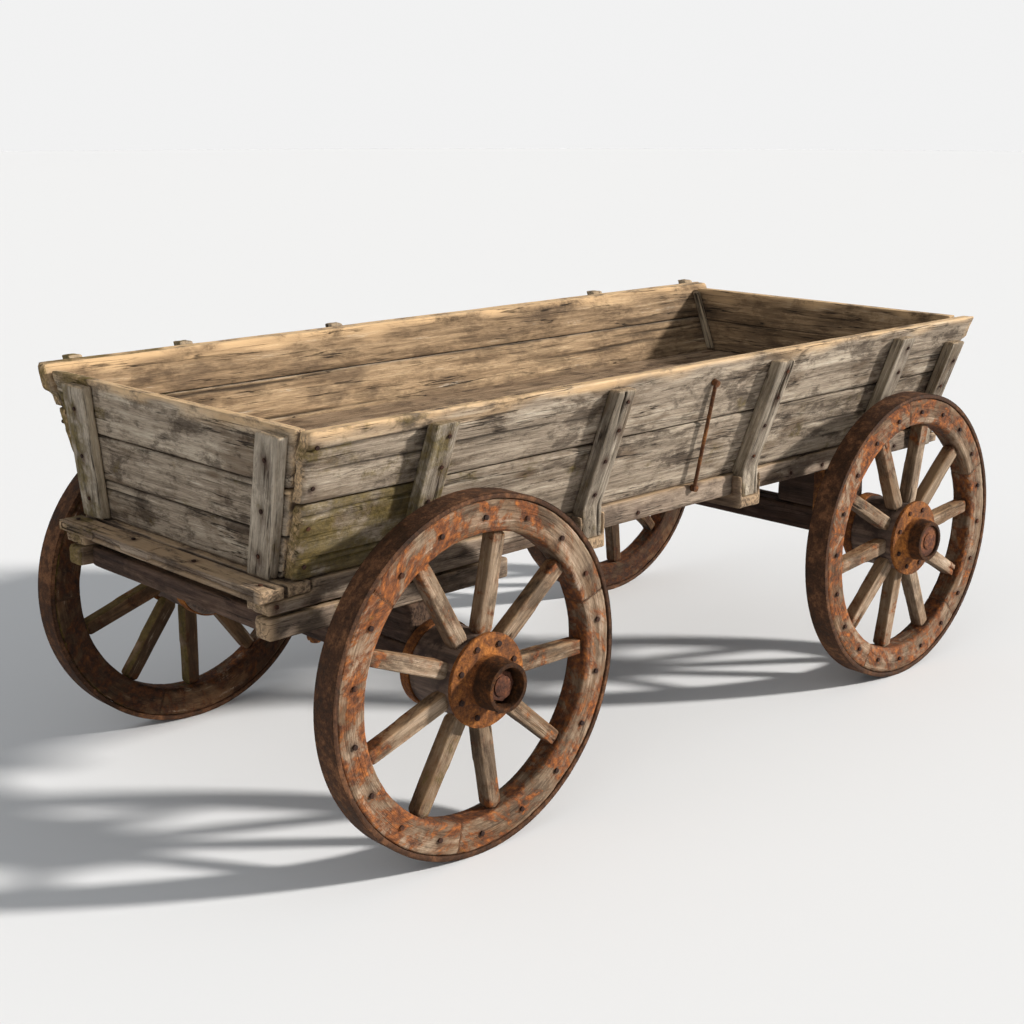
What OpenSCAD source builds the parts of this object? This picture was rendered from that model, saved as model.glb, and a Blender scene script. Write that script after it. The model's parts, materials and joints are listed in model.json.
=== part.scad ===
// Four-wheeled farm wagon: a splayed plank box on two sills, spoked wheels with iron tyres,
// a front axle that turns on a king pin and a tailboard that lifts out of its cleats.
// Front is -X, left is -Y. The origin lies on the ground, midway between the axles.

/* [Wheels] */
// Radius of every wheel over its iron tyre
wheel_r = 500; // [400:5:600]
// Thickness of the iron tyre
tyre_t = 15; // [8:1:22]
// Width of the iron tyre
tyre_w = 81; // [60:1:100]
// Width of the wooden felloes inside the tyre
felloe_w = 80; // [56:1:98]
// Radial depth of the felloes
felloe_depth = 90; // [60:1:110]
// Width of a spoke where it meets the nave
spoke_w_hub = 52; // [40:1:62]
// Width of a spoke where it meets the felloe
spoke_w_rim = 45; // [32:1:50]
// Depth of a spoke along the axle
spoke_d = 46; // [34:1:56]
// Radius of the wooden nave
nave_r = 118; // [100:1:140]
// Length of the nave inboard of the spokes' middle plane
nave_back = 169; // [130:1:200]

/* [Hub irons] */
// Radius of the hub flange
flange_r = 130; // [122:1:160]
// Thickness of the hub flange
flange_t = 12; // [8:1:16]
// Outer face of the flange from the spokes' middle plane
flange_off = 56; // [46:1:70]
// Radius of the nose where it leaves the flange
nose_r_base = 74; // [66:1:84]
// Radius of the nose at its open end
nose_r_end = 67; // [60:1:76]
// Radius of the recess that holds the axle nut
recess_r = 55; // [50:1:58]
// Length of a front hub's nose
front_nose = 80; // [60:1:100]
// Length of a rear hub's nose
rear_nose = 62; // [48:1:100]
// Bottom of the nut recess from the flange's outer face
recess_floor = 30; // [20:1:36]
// Outer radius of the iron box inside the nave
box_r = 50; // [44:1:56]

/* [Running gear] */
// Distance between the front and the rear axle
wheelbase = 2024; // [1700:1:2500]
// Distance between the middle planes of a pair of wheels
track = 1388; // [1340:1:1700]
// Width of the axle beams and the timber above them
axle_w = 110; // [90:1:140]
// Height of the axle beams
axle_h = 90; // [80:1:120]
// Radius of the iron axle arms
arm_r = 36; // [30:1:44]
// Height of the front bolster
bolster_h = 117; // [80:1:150]
// Height of the hounds
hound_h = 60; // [45:1:80]
// Width of the hounds
hound_w = 60; // [45:1:80]
// Reach of the hounds behind the front axle
hound_back = 330; // [250:1:380]
// Radius of the king pin
king_r = 16; // [12:1:22]
// Radius of the turning plates
plate_r = 180; // [120:1:230]
// Radius of the draw pin hole in the front hound crossbar
draw_r = 11; // [8:1:14]

/* [Box] */
// Overall length, from the front deck's edge to the rear deck's edge
overall_length = 3106; // [2600:1:3800]
// Half the outer width of the box at its bottom edge
box_bottom_half = 490; // [440:1:520]
// Half the outer width of the box at its rim
box_top_half = 645; // [560:1:660]
// Height of the box sides
side_h = 415; // [330:1:500]
// Thickness of the side boards
side_t = 44; // [30:1:56]
// Height of the side boards' joint above their bottom edge
side_joint = 218; // [150:1:260]
// Height of the right side's rim above the left side's
right_rise = 18; // [0:1:40]
// Height of the right side's lower joint above its bottom edge
right_low_joint = 150; // [100:1:200]
// Height of the right side's upper joint above its bottom edge
right_high_joint = 306; // [240:1:360]
// Height of the floor's top above the sides' bottom edge
floor_up = 177; // [140:1:210]
// Thickness of the floor boards
floor_t = 38; // [25:1:45]
// Number of lengthwise floor boards
floor_boards_n = 5; // [3:1:8]
// Thickness of the front boards
front_t = 40; // [28:1:50]
// Forward lean of the front boards over their height
front_lean = 50; // [0:1:80]
// Front deck left in front of the box
deck_proud = 109; // [60:1:160]
// Thickness of the deck planks
deck_t = 35; // [25:1:45]
// Width of one deck plank
deck_w = 84; // [70:1:110]
// Overhang of the deck planks past the sills
deck_over = 6; // [0:1:50]

/* [Sills and stakes] */
// Half the width over the sill rails
sill_half = 501; // [495:1:530]
// Width of a sill rail
sill_w = 100; // [70:1:120]
// Height of a sill rail
sill_h = 72; // [60:1:100]
// Width of the left side's stakes
stake_w = 80; // [50:1:100]
// Width of the right side's stakes
right_stake_w = 50; // [40:1:100]
// Width of the left side's stake at the tail
tail_stake_w = 72; // [40:1:90]
// Thickness of the stakes
stake_t = 40; // [25:1:45]
// Height of the stakes' tops below the rim on the left side
left_stake_drop = 27; // [0:1:60]
// Height that the stakes stand above the rim on the right side
right_stake_rise = 10; // [0:1:40]
// Height of the cross bearers
bearer_h = 40; // [30:1:60]

/* [Tail] */
// Thickness of the tailboard
tail_t = 40; // [28:1:50]
// Inner face of the tailboard from the overall length's rear end
tail_inset = 141; // [120:1:200]
// Height of the horns at the ends of the upper side boards
horn_h = 79; // [50:1:110]
// Projection of the front horn on the right side
front_horn = 18; // [0:1:60]
// Rear end of the horns from the overall length's rear end
horn_set = 48; // [10:1:60]
// Width of the cleats that hold the tailboard
cleat_w = 22; // [18:1:45]
// Thickness of the cleats that hold the tailboard
cleat_t = 30; // [20:1:40]

/* [Hidden] */

$fn = 96;
reach = 6000;         // longer and wider than anything it cuts
running = 0.06;       // radial clearance of a shaft that turns in its bore
seat = 0.05;          // radial clearance of a fixed round seat
touch = 0.05;         // clearance between sloped faces that lie on each other
face_gap = 0.3;       // clearance between faces that slide past each other
board_gap = 3;        // open joint between neighbouring boards

// Colours
old_wood = [0.55, 0.50, 0.43];
pale_wood = [0.66, 0.56, 0.42];
moss_wood = [0.47, 0.46, 0.34];
dark_wood = [0.33, 0.26, 0.21];
spoke_wood = [0.58, 0.52, 0.44];
rust_iron = [0.48, 0.27, 0.17];
dark_iron = [0.30, 0.22, 0.20];

// Levels
axle_x = wheelbase / 2;
axle_top = wheel_r + axle_h / 2;
axle_bottom = wheel_r - axle_h / 2;
bolster_top = axle_top + bolster_h;
hound_top = bolster_top + hound_h;
hound_gap = 8;
sill_bottom = hound_top + hound_gap;
deck_top = sill_bottom + sill_h;
rim_z = deck_top + side_h;
right_rim_z = rim_z + right_rise;
floor_z = deck_top + floor_up;

// Box outline
splay = atan((box_top_half - box_bottom_half) / side_h);
side_across = side_t / cos(splay);
front_end = -overall_length / 2;
rear_end = overall_length / 2;
front_foot = front_end + deck_proud;
tail_in = rear_end - tail_inset;
tail_out = tail_in + tail_t;
tail_gap = 2;
side_rear = tail_out + tail_gap + cleat_w;
sill_front = front_end + 21;
sill_rear = rear_end - 21;
deck_depth = 2 * deck_w + board_gap + 1;

// Stakes: places along the box, the first row with its feet in the bearers' pockets
bearer_xs = [-394, 350];
left_stake_xs = [-axle_x - 58, axle_x + 16];
right_stake_xs = [front_foot + 71, -axle_x + 25, axle_x - 118];
right_bearer_rises = [right_stake_rise, -4];
left_tail_stake_x = side_rear - 96;
right_tail_stake_x = side_rear - 35;
stake_foot_z = sill_bottom + 10;
stake_across = stake_t / cos(splay);
pocket_wall = 15;
pocket_h = 70;
pocket_out = stake_t + 7;

// Front battens: inner and outer edge at the foot, then at the top
left_batten = [[341, 435], [473, 574]];
right_batten = [[376, 480], [358, 475]];
batten_t = 34;
batten_drop = 14;
front_joints = [0, 119, 254, side_h];
tail_joints = [0, 143, 292, side_h];
tail_batten_y = 240;
tail_batten_w = 90;
tail_batten_t = 30;
rod_x = 48;
rod_z = rim_z - 67;
rod_lean = 55;
rod_r = 6;
boss_r = 11;
boss_h = 18;
nail_r = 6;
nail_h = 3;
sill_nail_xs = [sill_front + 32, -1230, -760, -150, 620, 800, 1240, sill_rear - 60];

// Running gear
arm_root = 140;
collar_t = 12;
collar_r = 56;
collar_gap = 0.5;
nut_t = 24;
arm_start = track / 2 - nave_back - collar_gap;
thread_start = track / 2 + flange_off + recess_floor;
arm_end = thread_start + nut_t + 4;
beam_half = arm_start - collar_t;
root_r = arm_r - 6;
front_nut_r = 43;
rear_nut_r = recess_r - 2;
thread_r = arm_r - 8;
plate_t = 8;
transom_w = 140;
turning_half = 240;
clip_w = 42;
clip_t = 8;
front_clip_y = 310;
rear_clip_y = 385;
block_in = 190;
hound_out = sill_half - 6;
crossbar_w = 62;
crossbar_set = 42;
king_head_r = 28;
king_head_t = 14;
king_tail = 26;
king_nut_t = 24;

// Wheels: number of spokes, number of felloes and angle of the first spoke
front_left_wheel = [9, 3, -1.3];
front_right_wheel = [10, 5, 18];
rear_left_wheel = [10, 5, 6.1];
rear_right_wheel = [10, 5, 24];
felloe_out = wheel_r - tyre_t;
felloe_in = felloe_out - felloe_depth;
tyre_seat = 0.1;
mortise_depth = 36;
tenon_w = 36;
tenon_d = 30;
tongue_r = 14;
tongue_l = 50;
felloe_chamfer = 7;
felloe_joint = 1.2;
rim_bolt_r = 7;
rim_bolt_h = 5;
flange_bolt_r = 8;
flange_bolts_n = 8;
hoop_w = 34;
hoop_t = 6;

// ---- helpers -------------------------------------------------------------

// Outer half width of the box at height z, and its inner half width
function side_out(z) = box_bottom_half + tan(splay) * (z - deck_top);
function side_in(z) = side_out(z) - side_across;

// Outer face of the front boards at height z
function front_out(z) = front_foot - front_lean * (z - deck_top) / side_h;

// The children on the left side, or mirrored to the right side
module on_side(side) {
    mirror([0, side == "right" ? 1 : 0, 0]) children();
}

// A prism along X from a to b with the outline [y, z]
module along_x(a, b) {
    translate([a, 0, 0]) rotate([90, 0, 90]) linear_extrude(b - a) children();
}

// A prism along Y from a to b with the outline [x, z]
module along_y(a, b) {
    translate([0, b, 0]) rotate([90, 0, 0]) linear_extrude(b - a) children();
}

// A box from one corner to the other
module block(low, high) {
    translate(low) cube(high - low);
}

// A round bar between two points
module bar(p, q, r) {
    d = q - p;
    translate(p)
        rotate([0, acos(d[2] / norm(d)), atan2(d[1], d[0])])
        cylinder(r = r, h = norm(d), $fn = 24);
}

// ---- frame ---------------------------------------------------------------

module sill_outline() {
    polygon([
        [sill_front, sill_bottom], [sill_rear, sill_bottom],
        [sill_rear, deck_top - deck_t], [rear_end - deck_depth, deck_top - deck_t],
        [rear_end - deck_depth, deck_top], [front_end + deck_depth, deck_top],
        [front_end + deck_depth, deck_top - deck_t], [sill_front, deck_top - deck_t]
    ]);
}

module sills() {
    color(pale_wood)
    for (side = ["left", "right"])
        on_side(side) along_y(-sill_half, sill_w - sill_half) sill_outline();
}

// A cross bearer under the sills, with a cheek on each side of the stakes' feet
module bearer(x) {
    end = sill_half + pocket_out;
    half = max(stake_w, right_stake_w) / 2 + pocket_wall;
    top = sill_bottom + pocket_h;
    block([x - half, -end, sill_bottom - bearer_h], [x + half, end, sill_bottom]);
    for (side = ["left", "right"])
        on_side(side) {
            inside = (side == "left" ? stake_w : right_stake_w) / 2 + face_gap;
            block([x - half, -end, sill_bottom - 1], [x - inside, -sill_half - face_gap, top]);
            block([x + inside, -end, sill_bottom - 1], [x + half, -sill_half - face_gap, top]);
        }
}

module cross_bearers() {
    color(old_wood)
    for (x = bearer_xs) bearer(x);
}

module deck_plank(x, half) {
    block([x, -half, deck_top - deck_t], [x + deck_w, half, deck_top]);
}

// Two planks at each end; only the foremost one is clear of the stakes and overhangs the sills
module end_decks() {
    pitch = deck_w + board_gap;
    color(old_wood) {
        deck_plank(front_end, sill_half + deck_over);
        deck_plank(front_end + pitch, sill_half);
        deck_plank(rear_end - deck_w, sill_half);
        deck_plank(rear_end - deck_w - pitch, sill_half);
    }
}

module floor_bearers() {
    half = side_in(deck_top) - 2;
    bearer_w = 70;
    first = front_foot + front_t + 24;
    last = tail_in - cleat_w - 10 - bearer_w;
    color(dark_wood)
    for (i = [0:4]) {
        x = first + i * (last - first) / 4;
        block([x, -half, deck_top], [x + bearer_w, half, floor_z - floor_t]);
    }
}

module floor_boards() {
    edge_gap = 3;
    low = floor_z - floor_t;
    width = (2 * side_in(floor_z) - 2 * edge_gap + board_gap) / floor_boards_n;
    front = front_out(low) + front_t + 2;
    color(pale_wood)
    intersection() {
        along_x(front, tail_in - 2)
            polygon([
                [-side_in(low) + edge_gap, low], [side_in(low) - edge_gap, low],
                [side_in(floor_z) - edge_gap, floor_z], [-side_in(floor_z) + edge_gap, floor_z]
            ]);
        for (i = [0:floor_boards_n - 1]) {
            y = -side_in(floor_z) + edge_gap + i * width;
            block([front_end, y, low - 1], [rear_end, y + width - board_gap, floor_z + 1]);
        }
    }
}

// ---- box -----------------------------------------------------------------

// A splayed slab of the left side between two heights
module side_slab(low, high) {
    along_x(front_end - 1, rear_end + 1)
        polygon([
            [-side_out(low), low], [-side_in(low), low],
            [-side_in(high), high], [-side_out(high), high]
        ]);
}

// A board of the left side between two heights, cut to the lean of the front
module side_board(low, high) {
    intersection() {
        side_slab(low, high);
        along_y(-reach, 0)
            polygon([
                [front_out(low), low], [side_rear, low],
                [side_rear, high], [front_out(high), high]
            ]);
    }
}

// A side's top board, whose upper strip runs on as a horn past the tail and the front
module horned_board(low, rim, horn) {
    horn_z = rim - horn_h;
    intersection() {
        side_slab(low, rim);
        along_y(-reach, 0)
            polygon([
                [front_out(low), low], [side_rear, low],
                [side_rear, horn_z], [rear_end - horn_set, horn_z],
                [rear_end - horn_set, rim], [front_out(rim) - horn, rim],
                [front_out(rim) - horn, horn_z], [front_out(horn_z), horn_z]
            ]);
    }
}

module left_upper_board() {
    color(old_wood) horned_board(deck_top + side_joint + board_gap / 2, rim_z, 0);
}

module left_lower_board() {
    color(moss_wood) side_board(deck_top, deck_top + side_joint - board_gap / 2);
}

module right_upper_board() {
    color(old_wood)
    on_side("right")
        horned_board(deck_top + right_high_joint + board_gap / 2, right_rim_z, front_horn);
}

module right_lower_boards() {
    color(moss_wood)
    on_side("right") {
        side_board(deck_top, deck_top + right_low_joint - board_gap / 2);
        side_board(deck_top + right_low_joint + board_gap / 2, deck_top + right_high_joint - board_gap / 2);
    }
}

// The space between the sides, gap short of them, over the whole height of the box
module between_sides(gap) {
    along_x(front_end - 1, rear_end + 1)
        polygon([
            [-side_in(deck_top) + gap, deck_top], [side_in(deck_top) - gap, deck_top],
            [side_in(rim_z) - gap, rim_z], [-side_in(rim_z) + gap, rim_z]
        ]);
}

module front_boards() {
    last = len(front_joints) - 2;
    color(old_wood)
    intersection() {
        between_sides(1);
        for (i = [0:last]) {
            low = deck_top + front_joints[i] + (i > 0 ? board_gap / 2 : 0);
            high = deck_top + front_joints[i + 1] - (i < last ? board_gap / 2 : 0);
            along_y(-reach, reach)
                polygon([
                    [front_out(low), low], [front_out(low) + front_t, low],
                    [front_out(high) + front_t, high], [front_out(high), high]
                ]);
        }
    }
}

// A batten on the front boards: its inner and outer edges at the foot and at the top
module front_batten(edges) {
    top = rim_z - batten_drop;
    intersection() {
        along_y(-reach, 0)
            polygon([
                [front_out(deck_top) - batten_t, deck_top], [front_out(deck_top) - touch, deck_top],
                [front_out(top) - touch, top], [front_out(top) - batten_t, top]
            ]);
        along_x(front_end - 1, 0)
            polygon([
                [-edges[0][1], deck_top], [-edges[0][0], deck_top],
                [-edges[1][0], top], [-edges[1][1], top]
            ]);
    }
}

module front_battens() {
    color(moss_wood) {
        front_batten(left_batten);
        on_side("right") front_batten(right_batten);
    }
}

// A stake follows the splayed side, then stands upright against the sill
module stake(x, width, foot, top) {
    out = sill_half + stake_t;
    bend = deck_top + (out - stake_across - box_bottom_half) / tan(splay);
    along_x(x - width / 2, x + width / 2)
        polygon([
            [-out, foot], [-sill_half, foot], [-sill_half, deck_top],
            [-side_out(deck_top) - touch, deck_top], [-side_out(top) - touch, top],
            [-side_out(top) - stake_across, top], [-out, bend]
        ]);
}

module left_stakes() {
    top = rim_z - left_stake_drop;
    color(old_wood) {
        for (x = bearer_xs) stake(x, stake_w, sill_bottom, top);
        for (x = left_stake_xs) stake(x, stake_w, stake_foot_z, top);
        stake(left_tail_stake_x, tail_stake_w, stake_foot_z, rim_z - horn_h);
    }
}

module right_stakes() {
    color(old_wood)
    on_side("right") {
        for (i = [0:1])
            stake(bearer_xs[i], right_stake_w, sill_bottom, right_rim_z + right_bearer_rises[i]);
        for (x = concat(right_stake_xs, [right_tail_stake_x]))
            stake(x, right_stake_w, stake_foot_z, right_rim_z + right_stake_rise);
    }
}

// A cleat on the inner face of the left side from x on
module cleat(x, foot) {
    top = rim_z - 8;
    along_x(x, x + cleat_w)
        polygon([
            [-side_in(foot), foot], [-side_in(foot) + cleat_t, foot],
            [-side_in(top) + cleat_t, top], [-side_in(top), top]
        ]);
}

module tail_cleats() {
    color(dark_wood)
    for (side = ["left", "right"])
        on_side(side) {
            cleat(tail_in - tail_gap - cleat_w, floor_z);
            cleat(tail_out + tail_gap, deck_top);
        }
}

// A forged rod from a boss high on the left side down to a boss on the sill
module side_rod() {
    high = [rod_x, -side_out(rod_z) - boss_h / 2 * cos(splay), rod_z - boss_h / 2 * sin(splay)];
    low = [rod_x + rod_lean, -sill_half - boss_h / 2, deck_top - sill_h / 6];
    color(rust_iron)
    union() {
        bar(high, low, rod_r);
        translate([rod_x, -side_out(rod_z), rod_z])
            rotate([90 + splay, 0, 0])
            cylinder(r = boss_r, h = boss_h, $fn = 32);
        translate([low[0], -sill_half, low[2]])
            rotate([90, 0, 0])
            cylinder(r = boss_r, h = boss_h, $fn = 32);
    }
}

module nail() {
    cylinder(r = nail_r, h = nail_h, $fn = 16);
}

// A nail on the left side's slope, out from the boards' outer face
module side_nail(x, z, out) {
    translate([x, -side_out(z) - out, z]) rotate([90 + splay, 0, 0]) nail();
}

module stake_nails(xs, top) {
    for (x = xs, up = [62, 168, 262, side_h - 66])
        if (deck_top + up < top - 20)
            side_nail(x + (up > side_joint ? 9 : -8), deck_top + up, stake_across);
}

module batten_nails(edges) {
    lean = atan(front_lean / side_h);
    for (up = [62, 190, 330]) {
        z = deck_top + up;
        share = up / (side_h - batten_drop);
        y = (edges[0][0] + edges[0][1]) / 2 * (1 - share) + (edges[1][0] + edges[1][1]) / 2 * share;
        translate([front_out(z) - batten_t, -y, z]) rotate([0, -90 - lean, 0]) nail();
    }
}

module box_nails() {
    color(rust_iron) {
        for (side = ["left", "right"])
            on_side(side) {
                for (up = [40, 150, 262, 372])
                    side_nail(front_out(deck_top + up) + (side == "left" ? 34 : 13), deck_top + up, 0);
                for (x = sill_nail_xs)
                    translate([x, -sill_half, sill_bottom + sill_h / 3]) rotate([90, 0, 0]) nail();
                for (y = [150, sill_half - sill_w / 2])
                    translate([front_end + deck_w / 2, -y, deck_top]) nail();
            }
        stake_nails(concat(bearer_xs, left_stake_xs), rim_z - left_stake_drop);
        stake_nails([left_tail_stake_x], rim_z - horn_h);
        on_side("right")
            stake_nails(concat(bearer_xs, right_stake_xs, [right_tail_stake_x]), right_rim_z);
        batten_nails(left_batten);
        on_side("right") batten_nails(right_batten);
    }
}

// ---- turning gear and axles ----------------------------------------------

module king_bore() {
    translate([-axle_x, 0, 0]) cylinder(r = king_r + running, h = reach);
}

module front_transom() {
    half = sill_half - sill_w - face_gap;
    color(dark_wood)
    difference() {
        translate([-axle_x, 0, 0])
            block([-transom_w / 2, -half, sill_bottom], [transom_w / 2, half, deck_top]);
        king_bore();
    }
}

module turning_plate(top) {
    translate([-axle_x, 0, top - plate_t])
        difference() {
            cylinder(r = plate_r, h = plate_t);
            translate([0, 0, -1]) cylinder(r = king_r + running, h = plate_t + 2);
        }
}

module upper_turning_plate() {
    color(dark_iron) turning_plate(sill_bottom);
}

module lower_turning_plate() {
    color(dark_iron) turning_plate(sill_bottom - plate_t - face_gap);
}

module turning_block() {
    top = sill_bottom - 2 * plate_t - face_gap;
    color(dark_wood)
    difference() {
        translate([-axle_x, 0, 0])
            block([-axle_w / 2, -turning_half, bolster_top], [axle_w / 2, turning_half, top]);
        king_bore();
    }
}

module king_pin() {
    foot = axle_bottom - face_gap - king_nut_t - 10;
    color(dark_iron)
    translate([-axle_x, 0, foot])
        rotate_extrude()
        polygon([
            [0, 0], [king_r, 0], [king_r, deck_top - foot],
            [king_head_r, deck_top - foot], [king_head_r, deck_top - foot + king_head_t],
            [0, deck_top - foot + king_head_t]
        ]);
}

module king_pin_nut() {
    color(dark_iron)
    translate([-axle_x, 0, axle_bottom - face_gap - king_nut_t])
        difference() {
            cylinder(r = king_head_r, h = king_nut_t, $fn = 6);
            translate([0, 0, -1]) cylinder(r = king_r + seat, h = king_nut_t + 2);
        }
}

// An axle beam with a round socket for an iron arm at each end
module axle_beam(x) {
    color(dark_wood)
    difference() {
        block([x - axle_w / 2, -beam_half, axle_bottom], [x + axle_w / 2, beam_half, axle_top]);
        for (side = ["left", "right"])
            on_side(side)
            translate([x, 0, wheel_r])
            rotate([90, 0, 0])
            translate([0, 0, beam_half - arm_root - 1])
            cylinder(r = root_r + seat, h = arm_root + 2);
        if (x < 0) king_bore();
    }
}

// The pair of iron arms: root, collar, journal and threaded end
module axle_arms(x) {
    color(rust_iron)
    for (side = ["left", "right"])
        on_side(side)
        translate([x, 0, wheel_r])
        rotate([90, 0, 0])
        rotate_extrude()
        polygon([
            [0, beam_half - arm_root], [root_r, beam_half - arm_root],
            [root_r, beam_half], [collar_r, beam_half],
            [collar_r, arm_start], [arm_r, arm_start],
            [arm_r, thread_start], [thread_r, thread_start],
            [thread_r, arm_end], [0, arm_end]
        ]);
}

module axle_nuts(x, radius, sides) {
    color(rust_iron)
    for (side = ["left", "right"])
        on_side(side)
        translate([x, -thread_start - face_gap, wheel_r])
        rotate([90, 0, 0])
        difference() {
            cylinder(r = radius, h = nut_t, $fn = sides);
            translate([0, 0, -1]) cylinder(r = thread_r + seat, h = nut_t + 2);
        }
}

// Straps that clasp an axle and the timber above it
module axle_clips(x, y, top) {
    half = axle_w / 2;
    color(rust_iron)
    for (side = ["left", "right"])
        on_side(side)
        along_y(-y - clip_w / 2, -y + clip_w / 2)
        polygon([
            [x - half - clip_t, axle_bottom - clip_t], [x + half + clip_t, axle_bottom - clip_t],
            [x + half + clip_t, top], [x + half, top],
            [x + half, axle_bottom], [x - half, axle_bottom],
            [x - half, top], [x - half - clip_t, top]
        ]);
}

module rear_axle() {
    axle_beam(axle_x);
}

module rear_axle_arms() {
    axle_arms(axle_x);
}

module rear_axle_nuts() {
    axle_nuts(axle_x, rear_nut_r, 96);
}

module rear_axle_clips() {
    axle_clips(axle_x, rear_clip_y, sill_bottom - 20);
}

module rear_bolster_blocks() {
    color(dark_wood)
    for (side = ["left", "right"])
        on_side(side)
        translate([axle_x, 0, 0])
        block([-axle_w / 2, -sill_half, axle_top], [axle_w / 2, -block_in, sill_bottom]);
}

module front_axle() {
    axle_beam(-axle_x);
}

module front_axle_arms() {
    axle_arms(-axle_x);
}

module front_axle_nuts() {
    axle_nuts(-axle_x, front_nut_r, 8);
}

module front_axle_clips() {
    axle_clips(-axle_x, front_clip_y, bolster_top - 20);
}

module front_bolster() {
    half = hound_out + 5;
    color(dark_wood)
    difference() {
        block([-axle_x - axle_w / 2, -half, axle_top], [-axle_x + axle_w / 2, half, bolster_top]);
        king_bore();
    }
}

module hounds() {
    rear = -axle_x + hound_back;
    color(old_wood)
    for (side = ["left", "right"])
        on_side(side)
        block([sill_front, -hound_out, bolster_top], [rear, hound_w - hound_out, hound_top]);
}

module hound_crossbars() {
    half = hound_out - hound_w;
    draw_x = sill_front + crossbar_set + crossbar_w / 2;
    color(dark_wood)
    difference() {
        for (x = [sill_front + crossbar_set, -axle_x + hound_back - 10 - crossbar_w])
            block([x, -half, bolster_top], [x + crossbar_w, half, hound_top]);
        translate([draw_x, 0, bolster_top - 1]) cylinder(r = draw_r, h = hound_h + 2);
    }
}

// ---- tailboard -----------------------------------------------------------

module tailboard_boards() {
    last = len(tail_joints) - 2;
    color(old_wood)
    intersection() {
        between_sides(tail_gap);
        for (i = [0:last]) {
            low = deck_top + (i > 0 ? tail_joints[i] + board_gap / 2 : face_gap);
            high = deck_top + tail_joints[i + 1] - (i < last ? board_gap / 2 : 0);
            block([tail_in, -reach, low], [tail_out, reach, high]);
        }
    }
}

module tailboard_battens() {
    half = tail_batten_w / 2;
    color(old_wood)
    for (side = ["left", "right"])
        on_side(side)
        translate([tail_out, -tail_batten_y, 0])
        block([0, -half, deck_top + 16], [tail_batten_t, half, rim_z - 22]);
}

// ---- wheels --------------------------------------------------------------

// Stands a wheel, drawn about Z with its outer face up, on its axle
module wheel_at(x, side) {
    on_side(side)
        translate([x, -track / 2, wheel_r])
        rotate([90, 0, 0])
        children();
}

// The children once for each spoke
module each_spoke(wheel) {
    for (i = [0:wheel[0] - 1]) rotate(wheel[2] + i * 360 / wheel[0]) children();
}

module tyre() {
    half = tyre_w / 2;
    edge = 2;
    color(dark_iron)
    rotate_extrude($fn = 180)
        polygon([
            [felloe_out, -half], [wheel_r - edge, -half], [wheel_r, edge - half],
            [wheel_r, half - edge], [wheel_r - edge, half], [felloe_out, half]
        ]);
}

module felloes(wheel) {
    half = felloe_w / 2;
    c = felloe_chamfer;
    out = felloe_out - tyre_seat;
    color(spoke_wood)
    difference() {
        rotate_extrude($fn = 180)
            polygon([
                [felloe_in, c - half], [felloe_in + c, -half], [out, -half],
                [out, half], [felloe_in + c, half], [felloe_in, half - c]
            ]);
        for (i = [0:wheel[1] - 1])
            rotate(wheel[2] + 180 / wheel[0] + i * 360 / wheel[1])
            translate([felloe_in - 10, -felloe_joint / 2, -felloe_w])
            cube([felloe_depth + 20, felloe_joint, 2 * felloe_w]);
        each_spoke(wheel)
            rotate([0, 90, 0])
            translate([0, 0, felloe_in - 10])
            cylinder(r = tongue_r + seat, h = tongue_l + 12, $fn = 48);
    }
}

module spokes(wheel) {
    foot = nave_r + 2 * seat;
    head = sqrt(pow(felloe_in, 2) - pow(spoke_w_rim / 2, 2)) - 2 * seat;
    root = nave_r - mortise_depth;
    color(spoke_wood)
    each_spoke(wheel) {
        translate([root, -tenon_w / 2, -tenon_d / 2]) cube([mortise_depth + 1, tenon_w, tenon_d]);
        translate([0, 0, -spoke_d / 2])
            linear_extrude(spoke_d)
            polygon([
                [foot, -spoke_w_hub / 2], [head, -spoke_w_rim / 2],
                [head, spoke_w_rim / 2], [foot, spoke_w_hub / 2]
            ]);
        rotate([0, 90, 0])
            translate([0, 0, head - 1])
            cylinder(r = tongue_r, h = tongue_l, $fn = 48);
    }
}

module nave(wheel) {
    top = flange_off - flange_t;
    color(spoke_wood)
    difference() {
        rotate_extrude()
            polygon([
                [box_r + seat, -nave_back], [nave_r - 8, -nave_back],
                [nave_r, 8 - nave_back], [nave_r, top], [box_r + seat, top]
            ]);
        each_spoke(wheel)
            translate([nave_r - mortise_depth - seat, -tenon_w / 2 - seat, -tenon_d / 2 - seat])
            cube([mortise_depth + 10, tenon_w + 2 * seat, tenon_d + 2 * seat]);
    }
}

// The hub casting: box, flange and nose in one, and the hoop on the nave's inner end
module hub_irons(nose) {
    tip = flange_off + nose;
    color(rust_iron) {
        rotate_extrude()
            polygon([
                [arm_r + running, 3 - nave_back], [box_r, 3 - nave_back],
                [box_r, flange_off - flange_t], [flange_r, flange_off - flange_t],
                [flange_r, flange_off], [nose_r_base, flange_off],
                [nose_r_end, tip], [recess_r, tip],
                [recess_r, flange_off + recess_floor], [arm_r + running, flange_off + recess_floor]
            ]);
        translate([0, 0, 12 - nave_back])
            rotate_extrude()
            polygon([
                [nave_r + seat, 0], [nave_r + hoop_t, 0],
                [nave_r + hoop_t, hoop_w], [nave_r + seat, hoop_w]
            ]);
    }
}

module bolts(wheel) {
    color(dark_iron) {
        each_spoke(wheel)
            for (s = [-1, 1])
                rotate(s * 90 / wheel[0])
                translate([felloe_in + felloe_depth / 2, 0, felloe_w / 2])
                cylinder(r = rim_bolt_r, h = rim_bolt_h, $fn = 24);
        for (i = [0:flange_bolts_n - 1])
            rotate(22 + i * 360 / flange_bolts_n)
            translate([(nose_r_base + flange_r) / 2, 0, flange_off])
            cylinder(r = flange_bolt_r, h = rim_bolt_h, $fn = 24);
    }
}

module tyre_front_left() {
    wheel_at(-axle_x, "left") tyre();
}

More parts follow.
